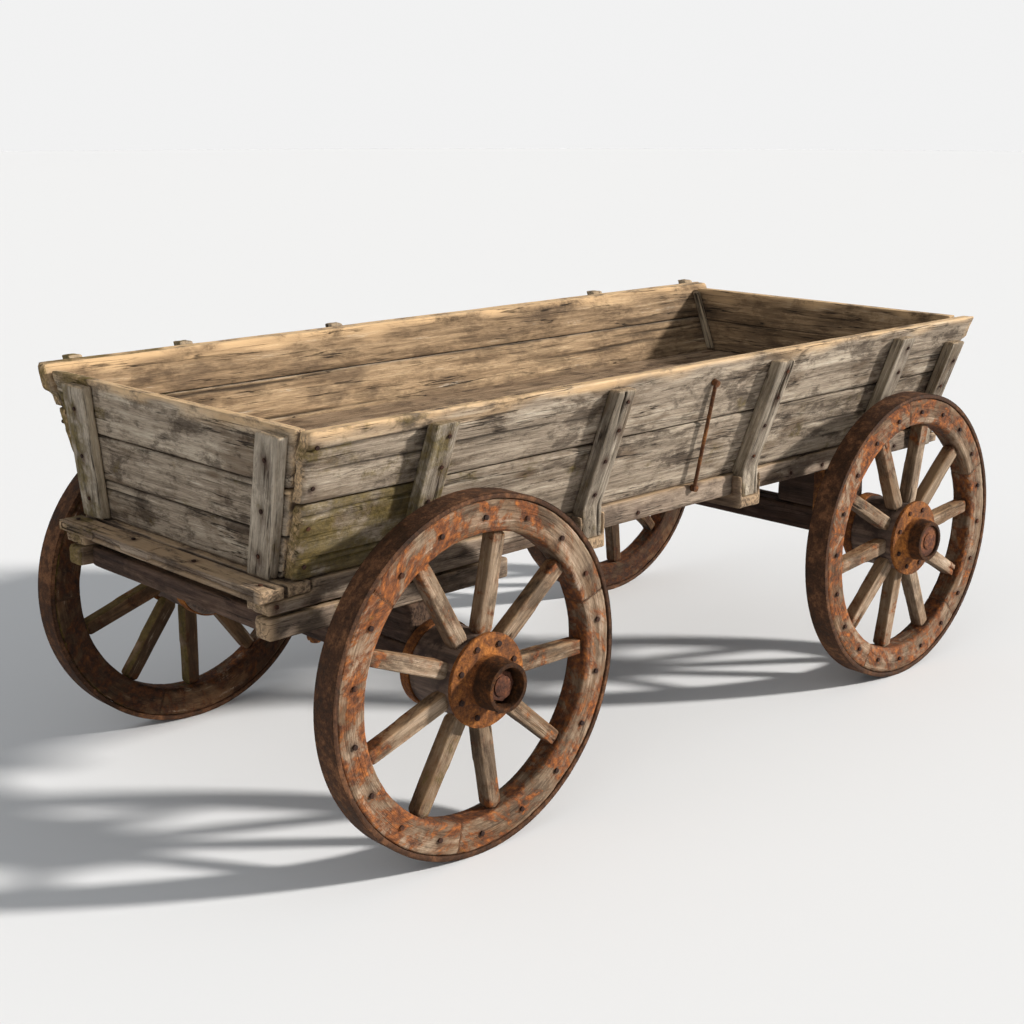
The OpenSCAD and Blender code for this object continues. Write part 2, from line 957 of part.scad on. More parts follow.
module felloes_front_left() {
    wheel_at(-axle_x, "left") felloes(front_left_wheel);
}

module spokes_front_left() {
    wheel_at(-axle_x, "left") spokes(front_left_wheel);
}

module nave_front_left() {
    wheel_at(-axle_x, "left") nave(front_left_wheel);
}

module hub_irons_front_left() {
    wheel_at(-axle_x, "left") hub_irons(front_nose);
}

module bolts_front_left() {
    wheel_at(-axle_x, "left") bolts(front_left_wheel);
}

module tyre_front_right() {
    wheel_at(-axle_x, "right") tyre();
}

module felloes_front_right() {
    wheel_at(-axle_x, "right") felloes(front_right_wheel);
}

module spokes_front_right() {
    wheel_at(-axle_x, "right") spokes(front_right_wheel);
}

module nave_front_right() {
    wheel_at(-axle_x, "right") nave(front_right_wheel);
}

module hub_irons_front_right() {
    wheel_at(-axle_x, "right") hub_irons(front_nose);
}

module bolts_front_right() {
    wheel_at(-axle_x, "right") bolts(front_right_wheel);
}

module tyre_rear_left() {
    wheel_at(axle_x, "left") tyre();
}

module felloes_rear_left() {
    wheel_at(axle_x, "left") felloes(rear_left_wheel);
}

module spokes_rear_left() {
    wheel_at(axle_x, "left") spokes(rear_left_wheel);
}

module nave_rear_left() {
    wheel_at(axle_x, "left") nave(rear_left_wheel);
}

module hub_irons_rear_left() {
    wheel_at(axle_x, "left") hub_irons(rear_nose);
}

module bolts_rear_left() {
    wheel_at(axle_x, "left") bolts(rear_left_wheel);
}

module tyre_rear_right() {
    wheel_at(axle_x, "right") tyre();
}

module felloes_rear_right() {
    wheel_at(axle_x, "right") felloes(rear_right_wheel);
}

module spokes_rear_right() {
    wheel_at(axle_x, "right") spokes(rear_right_wheel);
}

module nave_rear_right() {
    wheel_at(axle_x, "right") nave(rear_right_wheel);
}

module hub_irons_rear_right() {
    wheel_at(axle_x, "right") hub_irons(rear_nose);
}

module bolts_rear_right() {
    wheel_at(axle_x, "right") bolts(rear_right_wheel);
}

// ---- output --------------------------------------------------------------

sills();
cross_bearers();
end_decks();
floor_bearers();
floor_boards();
left_upper_board();
left_lower_board();
right_upper_board();
right_lower_boards();
front_boards();
front_battens();
left_stakes();
right_stakes();
tail_cleats();
side_rod();
box_nails();
front_transom();
upper_turning_plate();
king_pin();
king_pin_nut();
rear_axle();
rear_axle_arms();
rear_bolster_blocks();
rear_axle_nuts();
rear_axle_clips();
front_axle();
front_axle_arms();
front_axle_nuts();
front_bolster();
hounds();
hound_crossbars();
turning_block();
lower_turning_plate();
front_axle_clips();
tailboard_boards();
tailboard_battens();
tyre_front_left();
felloes_front_left();
spokes_front_left();
nave_front_left();
hub_irons_front_left();
bolts_front_left();
tyre_front_right();
felloes_front_right();
spokes_front_right();
nave_front_right();
hub_irons_front_right();
bolts_front_right();
tyre_rear_left();
felloes_rear_left();
spokes_rear_left();
nave_rear_left();
hub_irons_rear_left();
bolts_rear_left();
tyre_rear_right();
felloes_rear_right();
spokes_rear_right();
nave_rear_right();
hub_irons_rear_right();
bolts_rear_right();
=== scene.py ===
"""A weathered wooden farm wagon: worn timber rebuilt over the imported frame, and rusty ironwork."""

import json
import math

import bpy
import numpy as np
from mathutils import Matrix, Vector


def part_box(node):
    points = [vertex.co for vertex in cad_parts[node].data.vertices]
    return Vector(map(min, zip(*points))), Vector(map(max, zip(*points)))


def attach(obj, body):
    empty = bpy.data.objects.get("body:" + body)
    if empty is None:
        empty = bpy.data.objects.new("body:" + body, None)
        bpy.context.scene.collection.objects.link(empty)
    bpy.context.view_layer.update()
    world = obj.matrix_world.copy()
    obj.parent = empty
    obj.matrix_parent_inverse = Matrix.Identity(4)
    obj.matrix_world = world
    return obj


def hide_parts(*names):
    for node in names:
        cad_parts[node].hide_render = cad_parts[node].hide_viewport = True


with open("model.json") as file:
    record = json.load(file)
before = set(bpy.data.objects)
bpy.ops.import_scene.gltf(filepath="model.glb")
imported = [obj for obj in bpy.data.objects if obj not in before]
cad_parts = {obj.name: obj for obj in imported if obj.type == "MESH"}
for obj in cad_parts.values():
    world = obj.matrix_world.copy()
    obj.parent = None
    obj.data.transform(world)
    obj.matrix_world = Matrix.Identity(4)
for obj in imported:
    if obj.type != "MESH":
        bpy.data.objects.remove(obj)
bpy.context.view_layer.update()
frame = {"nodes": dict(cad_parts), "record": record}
NODES = frame["nodes"]
BODIES = frame["record"]["behaviour"]["bodies"]
BODY_OF = {node: body for body, members in BODIES.items() for node in members}
WHEELS = ("front_left", "front_right", "rear_left", "rear_right")
MM = 0.001
CREASE = math.radians(32)
FIRST_SEED = 11
SEED_STEP = 7


# ---------------------------------------------------------------- noise and meshes

def lattice(x, y, z, seed):
    """A repeatable number from -1 to 1 for each whole-number place."""
    h = (x * 374761393 + y * 668265263 + z * 1440662683 + seed * 1274126177) & 0xFFFFFFFF
    h = ((h ^ (h >> 13)) * 1274126177) & 0xFFFFFFFF
    return ((h ^ (h >> 16)) & 0xFFFF) / 32767.5 - 1.0


def noise(points, per_metre, seed):
    """Smooth noise from -1 to 1; per_metre is its frequency along each axis."""
    scaled = points * np.asarray(per_metre, float)
    cell = np.floor(scaled).astype(np.int64)
    t = scaled - cell
    t = t * t * (3 - 2 * t)
    total = np.zeros(len(points))
    for corner in np.ndindex(2, 2, 2):
        weight = np.prod(np.where(corner, t, 1 - t), axis=1)
        x, y, z = (cell + corner).T
        total += weight * lattice(x, y, z, seed)
    return total


def mesh_arrays(mesh):
    """A mesh's corner places, with doubles merged, and its triangles."""
    mesh.calc_loop_triangles()
    co = np.zeros(len(mesh.vertices) * 3, np.float32)
    mesh.vertices.foreach_get("co", co)
    tri = np.zeros(len(mesh.loop_triangles) * 3, np.int32)
    mesh.loop_triangles.foreach_get("vertices", tri)
    co = co.reshape(-1, 3)
    _, first, place = np.unique(np.round(co, 5), axis=0, return_index=True, return_inverse=True)
    co = co[first].astype(float)
    tri = place.ravel()[tri].reshape(-1, 3)
    distinct = (tri[:, 0] != tri[:, 1]) & (tri[:, 1] != tri[:, 2]) & (tri[:, 0] != tri[:, 2])
    return co, tri[distinct]


def solids(mesh):
    """Each separate solid of a mesh, as (places, triangles), in order of its lowest corner number."""
    co, tri = mesh_arrays(mesh)
    label = np.arange(len(co))
    while True:
        low = label[tri].min(1)
        before = label.copy()
        np.minimum.at(label, tri.ravel(), np.repeat(low, 3))
        label = label[label]
        if (label == before).all():
            break
    found = []
    for root in np.unique(label[tri[:, 0]]):
        mine = tri[label[tri[:, 0]] == root]
        used, index = np.unique(mine, return_inverse=True)
        found.append((co[used], index.reshape(-1, 3)))
    return found


def face_normals(co, faces):
    """Each face's normal, as long as twice its area."""
    a, b, c = co[faces[:, 0]], co[faces[:, 1]], co[faces[:, 2]]
    d = co[faces[:, -1]]
    return np.cross(b - a, c - a) if faces.shape[1] == 3 else np.cross(c - a, d - b)


def vertex_normals(co, faces):
    """Each vertex's unit normal."""
    flat = face_normals(co, faces)
    total = np.zeros_like(co)
    for k in range(3):
        for corner in range(faces.shape[1]):
            total[:, k] += np.bincount(faces[:, corner], flat[:, k], len(co))
    return total / np.maximum(np.linalg.norm(total, axis=1), 1e-12)[:, None]


def piece_axes(co, tri):
    """Rows are the piece's length, width and thickness directions."""
    normals = face_normals(co, tri)
    area = np.maximum(np.linalg.norm(normals, axis=1), 1e-12)
    normals = normals / area[:, None]

    def strongest(candidates):
        picks = candidates[np.argsort(-area[candidates])[:40]]
        scores = [area[np.abs(normals @ normals[i]) > 0.999].sum() for i in picks]
        return normals[picks[int(np.argmax(scores))]]

    first = strongest(np.arange(len(tri)))
    square_on = np.where(np.abs(normals @ first) < 0.02)[0]
    if len(square_on) == 0:
        flat = co - co.mean(0)
        flat = flat - np.outer(flat @ first, first)
        second = np.linalg.eigh(flat.T @ flat)[1][:, -1]
    else:
        second = strongest(square_on)
    third = np.cross(first, second)
    axes = np.array([first, second, third / np.linalg.norm(third)])
    axes = axes[np.argsort(-np.ptp(co @ axes.T, axis=0))]
    if np.linalg.det(axes) < 0:
        axes[2] = -axes[2]
    return axes


def remeshed(co, tri, cell):
    """The solid as an even grid of square faces, cell metres a side."""
    mesh = bpy.data.meshes.new("work")
    mesh.from_pydata(co.tolist(), [], tri.tolist())
    work = bpy.data.objects.new("work", mesh)
    bpy.context.scene.collection.objects.link(work)
    remesh = work.modifiers.new("grid", "REMESH")
    remesh.mode = "VOXEL"
    remesh.voxel_size = cell
    made = work.evaluated_get(bpy.context.evaluated_depsgraph_get()).to_mesh()
    out = np.zeros(len(made.vertices) * 3, np.float32)
    made.vertices.foreach_get("co", out)
    quads = np.zeros(len(made.loops), np.int32)
    made.loops.foreach_get("vertex_index", quads)
    bpy.data.objects.remove(work)
    bpy.data.meshes.remove(mesh)
    return out.reshape(-1, 3).astype(float), quads.reshape(-1, 4)


def smoothed(co, quads, rounds):
    """Each place moved towards the mean of its neighbours, which rounds the edges."""
    a = quads.ravel()
    b = np.roll(quads, -1, axis=1).ravel()
    count = np.bincount(a, minlength=len(co)) + np.bincount(b, minlength=len(co))
    for _ in range(rounds):
        total = np.zeros_like(co)
        for k in range(3):
            total[:, k] = np.bincount(a, co[b, k], len(co)) + np.bincount(b, co[a, k], len(co))
        co = co + 0.5 * (total / np.maximum(count, 1)[:, None] - co)
    return co


# ---------------------------------------------------------------- worn timber

class Wear:
    """How worn the timber of some nodes is; sizes in millimetres."""

    def __init__(self, cell=6, stretch=3, ends=6, chips=3, relief=0.8, cracks=1.0, moss=0.2,
                 rounds=2, notches=0, swell=0, pale=0.0):
        self.cell = cell * MM
        self.stretch = stretch
        self.ends = ends * MM
        self.chips = chips * MM
        self.relief = relief * MM
        self.cracks = cracks
        self.moss = moss
        self.rounds = rounds
        self.notches = notches * MM
        self.swell = swell * MM
        self.pale = pale


def crack_depth(local, half, rng, amount):
    """How deep the open splits are at each place: each is a long narrow groove that follows the grain."""
    depth = np.zeros(len(local))
    number = rng.poisson(amount * min(4.0, half[0] * 2.5))
    for _ in range(number):
        side = rng.choice((-1.0, 1.0))
        reach = rng.uniform(0.15, 0.5) * half[0]
        middle = side * (half[0] - reach * rng.uniform(0.2, 1.2))
        line = rng.uniform(-0.75, 0.75) * half[1]
        wander = 5 * MM * noise(local, (4, 0, 0), int(rng.integers(1 << 20)))
        taper = np.clip(1 - np.abs(local[:, 0] - middle) / reach, 0, 1) ** 0.5
        across = np.abs(local[:, 1] - line - wander) / (4 * MM * taper + 0.1 * MM)
        depth = np.maximum(depth, rng.uniform(3, 8) * MM * taper * np.clip(1.3 - across, 0, 1))
    return depth


def notched(local, depth, rng):
    """A board whose edge has broken off in steps: each place's set-back, and the cuts between the steps."""
    pitch = 150 * MM
    place = local[:, 0] / pitch + 0.35 * noise(local, (2.5, 9, 0), int(rng.integers(1 << 20)))
    step = np.floor(place).astype(int)
    table = rng.uniform(0, 1, 64) ** 1.5
    cut = np.minimum(place - step, step + 1 - place) * pitch
    shown = noise(local, (8, 25, 0), 9) > 0.05
    return depth * table[step % 64], 3 * MM * shown * np.clip(1.3 - cut / (3 * MM), 0, 1)


def worn_ring(parts, wear, rng):
    """A wheel's felloes as one worn rim, with a fine open joint between each two."""
    co = np.concatenate([part[0] for part in parts])
    starts = np.cumsum([0] + [len(part[0]) for part in parts])
    tri = np.concatenate([part[1] + start for part, start in zip(parts, starts)])
    centre = (co.max(0) + co.min(0)) / 2
    grid, quads = remeshed(co - centre, tri, wear.cell)
    worn = smoothed(grid, quads, wear.rounds)
    edge = np.clip(np.linalg.norm(worn - grid, axis=1) / (0.6 * wear.cell), 0, 1)
    radius = np.hypot(worn[:, 0], worn[:, 2])
    angle = np.arctan2(worn[:, 2], worn[:, 0])
    middles = np.array([part[0].mean(0) - centre for part in parts])
    turned = np.angle(np.exp(1j * (angle[:, None] - np.arctan2(middles[:, 2], middles[:, 0])[None, :])))
    owner = np.argmin(np.abs(turned), axis=1)
    along = turned[np.arange(len(worn)), owner]
    joint = radius * (math.pi / len(parts) - np.abs(along))
    grain = np.stack([along * radius + 3.7 * owner, radius, worn[:, 1]], 1)
    seed = int(rng.integers(1 << 20))
    normal = vertex_normals(worn, quads)
    chipping = np.clip(noise(worn, (26, 26, 26), seed + 1) + 0.25, 0, 1) ** 1.5
    hollow = wear.relief * (0.5 + 0.5 * noise(grain, (12, 80, 80), seed + 2)) + wear.chips * edge * chipping
    split = np.clip(1.2 - joint / (2.5 * MM), 0, 1) * (noise(worn, (9, 9, 9), seed + 3) > -0.3)
    worn = worn - normal * (hollow + 2 * MM * split)[:, None]
    values = {
        "grain": grain + rng.uniform(-40, 40, 3),
        "end": np.zeros(len(worn)),
        "edge": edge,
        "split": 0.8 * split,
        "tone": rng.uniform(-1, 1, len(parts))[owner],
        "top": np.zeros(len(worn)),
        "bare": np.zeros(len(worn)),
    }
    inward = np.clip(-(normal[:, 0] * worn[:, 0] + normal[:, 2] * worn[:, 2]) / radius, 0, 1)
    forward = np.clip(-worn[:, 0] / radius, -1, 1)
    values["rusty"] = 0.60 + 0.16 * forward + 0.25 * inward + 0.2 * noise(worn, (4, 4, 4), seed + 6)
    return worn + centre, quads, values


def worn_solid(co, tri, wear, rng):
    """One timber as a worn mesh: places, faces and the values that its material reads."""
    axes = piece_axes(co, tri)
    centre = (co.max(0) + co.min(0)) / 2
    local = (co - centre) @ axes.T
    middle = (local.max(0) + local.min(0)) / 2
    local = local - middle
    half = np.ptp(local, axis=0) / 2
    squeeze = np.array([1 / wear.stretch, 1, 1])
    grid, quads = remeshed(local * squeeze, tri, wear.cell)
    sharp = np.clip(grid / squeeze, -half, half)
    seed = int(rng.integers(1 << 20))
    worn = smoothed(sharp, quads, wear.rounds)
    edge = np.clip(np.linalg.norm((worn - sharp) * (0.3, 1, 1), axis=1) / (0.6 * wear.cell), 0, 1)
    normal = vertex_normals(worn, quads)
    chipping = np.clip(noise(worn, (9, 30, 30), seed + 1) + 0.25, 0, 1) ** 1.5
    hollow = wear.relief * (0.5 + 0.5 * noise(worn, (5, 95, 95), seed + 2))
    hollow = hollow + wear.relief * 1.5 * (0.5 + 0.5 * noise(worn, (2, 22, 22), seed + 3))
    hollow = hollow + wear.chips * edge * chipping
    splits = crack_depth(worn, half, rng, wear.cracks) * (np.abs(normal[:, 0]) < 0.5)
    if wear.notches:
        step, line = notched(worn, wear.notches, rng)
        hollow = hollow + step * (np.abs(normal[:, 1]) > 0.5)
        splits = np.maximum(splits, line)
    worn = worn - normal * (hollow + splits)[:, None]
    near_end = np.clip(1 - (half[0] - np.abs(sharp[:, 0])) / (wear.ends * 4 + 1 * MM), 0, 1)
    ragged = 0.5 + 0.5 * noise(sharp * (0.02, 1, 1), (1, 70, 25), seed + 4)
    ragged = 0.55 * ragged + 0.45 * (0.5 + 0.5 * noise(sharp * (0.02, 1, 1), (1, 14, 8), seed + 5))
    worn[:, 0] -= np.sign(sharp[:, 0]) * near_end * wear.ends * ragged
    near_side = np.clip(1 - (half[1] - np.abs(sharp[:, 1])) / (8 * MM), 0, 1)
    worn[:, 1] += np.sign(sharp[:, 1]) * near_side * wear.swell
    normal = vertex_normals(worn, quads)
    values = {
        "grain": worn + rng.uniform(-40, 40, 3),
        "end": np.abs(normal[:, 0]) ** 3,
        "edge": edge,
        "split": np.clip(splits / (4 * MM), 0, 1),
        "tone": np.full(len(worn), rng.uniform(-1, 1) + wear.pale),
    }
    world = (worn + middle) @ axes + centre
    values["top"] = np.clip((normal @ axes)[:, 2], 0, 1)
    bare = 0.65 + 0.9 * noise(worn, (14, 30, 30), seed + 6) - (half[0] - np.abs(sharp[:, 0])) / (45 * MM)
    values["bare"] = np.clip(bare, 0, 1)
    values["rusty"] = np.zeros(len(worn))
    return world, quads, values


def iron_spots():
    """The centres of the nail and bolt heads, for the rust stains around them."""
    names = ["box_nails"] + [f"bolts_{wheel}" for wheel in WHEELS]
    return {name: np.array([co.mean(0) for co, _ in solids(NODES[name].data)]) for name in names}


SPOTS = iron_spots()


def rust_stain(co, spots, drip):
    """1 at a nail head and less around it, further down than up where rain has run."""
    stain = np.zeros(len(co))
    for spot in spots:
        away = co - spot
        run = np.where(away[:, 2] < 0, away[:, 2] / drip, away[:, 2])
        far = np.sqrt(away[:, 0] ** 2 + away[:, 1] ** 2 + run ** 2)
        stain = np.maximum(stain, np.exp(-(far / (15 * MM)) ** 2))
    return stain


def joined(made):
    """The places, faces and values of several worn solids as one."""
    places, faces, values = [], [], {}
    start = 0
    for world, quads, found in made:
        places.append(world)
        faces.append(quads + start)
        start += len(world)
        for key, value in found.items():
            values.setdefault(key, []).append(value)
    return np.concatenate(places), np.concatenate(faces), {k: np.concatenate(v) for k, v in values.items()}


def weather_boards(node, slot, co, values, seed):
    """Where the wood of a board is pale from sun and wear, and where its edges are dark."""
    bare = values.pop("bare")
    if slot in ("side_wood", "frame_wood"):
        values["top"] = np.maximum(values["top"], bare)
    if slot == "floor_wood":
        values["top"] = 0.3 * values["top"]
    if slot in ("side_wood", "floor_wood"):
        rim = co[:, 2].max() if "lower" not in node and slot == "side_wood" else np.inf
        below = rim - co[:, 2]
        exposed = np.clip(1.5 - below / (24 * MM), 0, 1)
        flaked = np.clip(0.9 + 0.9 * noise(co, (7, 7, 40), seed) - below / (38 * MM), 0, 1)
        joint = 0.75 * values["edge"] * (1 - exposed) * (values["end"] < 0.3)
        values["split"] = np.maximum(values["split"], joint)
        values["edge"] = values["edge"] * np.maximum(exposed, values["end"] > 0.3)
        lit = values["top"] * (exposed if slot == "side_wood" else 1)
        values["top"] = np.maximum(np.maximum(lit, 0.9 * bare * (slot == "side_wood")), flaked)


def weather_place(node, wear, co, quads, values, seed):
    """Nail stains, moss and shade, which follow from where a timber sits on the wagon."""
    wheel = next((w for w in WHEELS if node.endswith(w)), None)
    values["stain"] = rust_stain(co, SPOTS[f"bolts_{wheel}" if wheel else "box_nails"], 1.0 if wheel else 3.0)
    normal = vertex_normals(co, quads)
    outward = np.clip((normal[:, 0] * co[:, 0] + normal[:, 1] * co[:, 1]) / 0.4, -1, 1)
    patch = noise(co, (2.2, 2.2, 3.5), 77) * 0.5 + 0.5
    front = np.clip((-0.75 - co[:, 0]) / 0.35, 0, 1)
    corner = front * np.clip((co[:, 1] - 0.30) / 0.15, 0, 1)
    damp = wear.moss * (0.15 + 0.6 * patch + 1.1 * front) + 0.55 * corner * (wear.moss > 0)
    values["moss"] = np.clip(damp, 0, 1) * (outward > -0.3)
    # How much each face looks in towards the middle of the wagon; the material darkens and warms these faces.
    values["inside"] = np.clip(-outward, 0, 1)
    if wheel:
        # On a wheel this is painted shade: faces towards the wagon get it fully, sideways faces at 0.45.
        values["inside"] = np.clip(0.45 - normal[:, 1] * np.sign(co[:, 1]), 0, 1)
        hub = (co.max(0) + co.min(0)) / 2
        if node.startswith("spokes"):
            out = np.hypot((co - hub)[:, 0], (co - hub)[:, 2])
            near_rim = np.clip((out - 0.30) / 0.12, 0, 1)
            values["rusty"] = 0.12 + 0.6 * near_rim + 0.22 * noise(co, (5, 5, 5), seed)


def quad_mesh(name, co, quads, values, material):
    """A smooth mesh of square faces that carries its values as point attributes."""
    mesh = bpy.data.meshes.new(name)
    mesh.vertices.add(len(co))
    mesh.vertices.foreach_set("co", co.astype(np.float32).ravel())
    mesh.loops.add(quads.size)
    mesh.loops.foreach_set("vertex_index", quads.astype(np.int32).ravel())
    mesh.polygons.add(len(quads))
    mesh.polygons.foreach_set("loop_start", np.arange(0, quads.size, 4, dtype=np.int32))
    mesh.update(calc_edges=True)
    mesh.validate()
    mesh.shade_smooth()
    for key, value in values.items():
        vector = value.ndim == 2
        attribute = mesh.attributes.new(key, "FLOAT_VECTOR" if vector else "FLOAT", "POINT")
        attribute.data.foreach_set("vector" if vector else "value", value.astype(np.float32).ravel())
    mesh.materials.append(material)
    return mesh


def worn_timber(node, material, slot, wear, seed):
    """Replaces a CAD timber node with its worn mesh."""
    rng = np.random.default_rng(seed)
    parts = solids(NODES[node].data)
    if node.startswith("felloes"):
        made = [worn_ring(parts, wear, rng)]
    else:
        made = [worn_solid(*part, wear, rng) for part in parts]
    co, quads, values = joined(made)
    weather_boards(node, slot, co, values, seed)
    weather_place(node, wear, co, quads, values, seed)
    mesh = quad_mesh(f"worn_{node}", co, quads, values, material)
    piece = bpy.data.objects.new(f"worn_{node}", mesh)
    bpy.context.scene.collection.objects.link(piece)
    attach(piece, BODY_OF[node])
    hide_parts(node)


# ---------------------------------------------------------------- materials

class Shader:
    """Builds one material's nodes; each method returns an output socket."""

    def __init__(self, name):
        self.material = bpy.data.materials.new(name)
        self.material.use_nodes = True
        self.nodes = self.material.node_tree.nodes
        self.links = self.material.node_tree.links
        self.surface = self.nodes["Principled BSDF"]

    def put(self, socket, value):
        """Links another node's output to an input, or sets the input's own value."""
        if isinstance(value, bpy.types.NodeSocket):
            self.links.new(value, socket)
        elif isinstance(value, tuple) and len(value) == 3 and socket.type == "RGBA":
            socket.default_value = (*value, 1.0)
        else:
            socket.default_value = value

    def add(self, kind, inputs, output=0, **settings):
        """A new node with these inputs and settings."""
        made = self.nodes.new(kind)
        for key, value in settings.items():
            setattr(made, key, value)
        for key, value in inputs.items():
            self.put(made.inputs[key], value)
        return made.outputs[output]

    def attribute(self, name, vector=False):
        return self.add("ShaderNodeAttribute", {}, "Vector" if vector else "Fac", attribute_name=name)

    def place(self):
        return self.add("ShaderNodeTexCoord", {}, "Object")

    def stretch(self, vector, factors):
        return self.add("ShaderNodeVectorMath", {0: vector, 1: factors}, operation="MULTIPLY")

    def noise(self, vector, scale, detail=4.0, rough=0.6, distortion=0.0):
        inputs = {"Vector": vector, "Scale": scale, "Detail": detail, "Roughness": rough}
        inputs["Distortion"] = distortion
        return self.add("ShaderNodeTexNoise", inputs, "Fac")

    def math(self, operation, a, b=0.0, clamp=False):
        return self.add("ShaderNodeMath", {0: a, 1: b}, operation=operation, use_clamp=clamp)

    def band(self, value, low, high):
        """0 below low and 1 above high, or the other way round where low is the larger."""
        inputs = {"Value": value, "From Min": low, "From Max": high}
        return self.add("ShaderNodeMapRange", inputs, "Result", interpolation_type="SMOOTHSTEP")

    def mix(self, factor, a, b, blend="MIX"):
        """Colour b over colour a by factor."""
        made = self.nodes.new("ShaderNodeMix")
        made.data_type = "RGBA"
        made.blend_type = blend
        self.put(made.inputs[0], factor)
        self.put(made.inputs[6], a)
        self.put(made.inputs[7], b)
        return made.outputs[2]

    def ramp(self, value, stops):
        """A colour for each value, from (value, colour) stops."""
        made = self.nodes.new("ShaderNodeValToRGB")
        elements = made.color_ramp.elements
        while len(elements) < len(stops):
            elements.new(0.5)
        for element, (place, colour) in zip(elements, stops):
            element.position = place
            element.color = (*colour, 1.0)
        self.put(made.inputs["Fac"], value)
        return made.outputs["Color"]

    def finish(self, colour, rough, height, depth):
        """Sets the surface, with bumps depth metres high, and returns the material."""
        self.put(self.surface.inputs["Base Color"], colour)
        self.put(self.surface.inputs["Roughness"], rough)
        bump = self.add("ShaderNodeBump", {"Height": height, "Distance": depth, "Strength": 1.0})
        self.put(self.surface.inputs["Normal"], bump)
        return self.material


